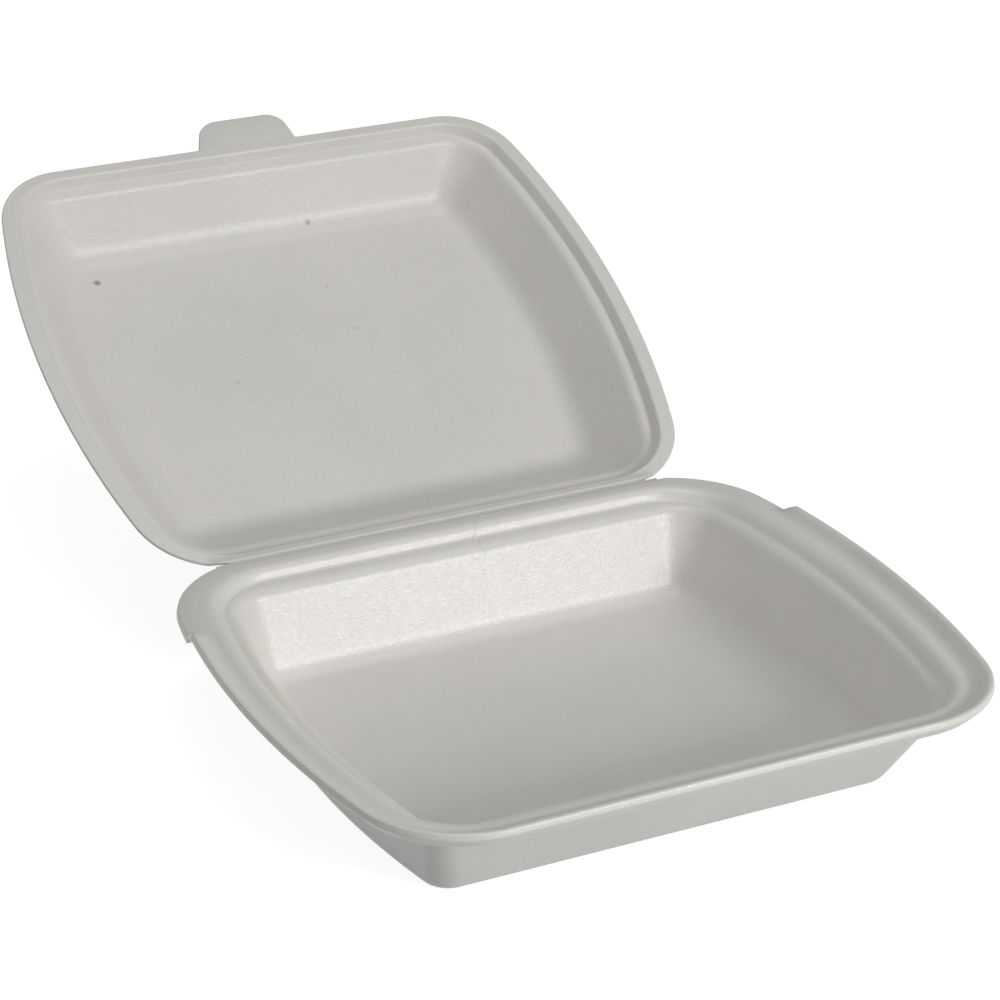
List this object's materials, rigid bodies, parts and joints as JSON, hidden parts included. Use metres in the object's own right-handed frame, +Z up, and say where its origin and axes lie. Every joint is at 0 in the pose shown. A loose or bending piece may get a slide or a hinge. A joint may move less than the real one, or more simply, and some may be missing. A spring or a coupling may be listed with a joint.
{
  "type": "hinged foam meal box",
  "caption": "Open foam clamshell meal box with a deep tray, a raised locating lip round its stepped rim, and a shallower lid with a closing tab on a folded hinge.",
  "frame": {"origin": "middle of the tray's flat underside", "axes": "+Z up, +Y from the tray's front towards the fold and the open lid, +X along the fold"},
  "size_m": [0.2392, 0.4032, 0.1292],
  "materials": {
    "foam": "satin pressed foam skin"
  },
  "bodies": {
    "tray": {"tray": "foam"},
    "lid": {"lid": "foam"}
  },
  "joints": [
    {"name": "lid_hinge", "type": "hinge", "parent": "tray", "child": "lid", "pos_m": [0, 0.09639, 0.0374], "axis": [1, 0, 0], "range_deg": [-26, 153]}
  ]
}
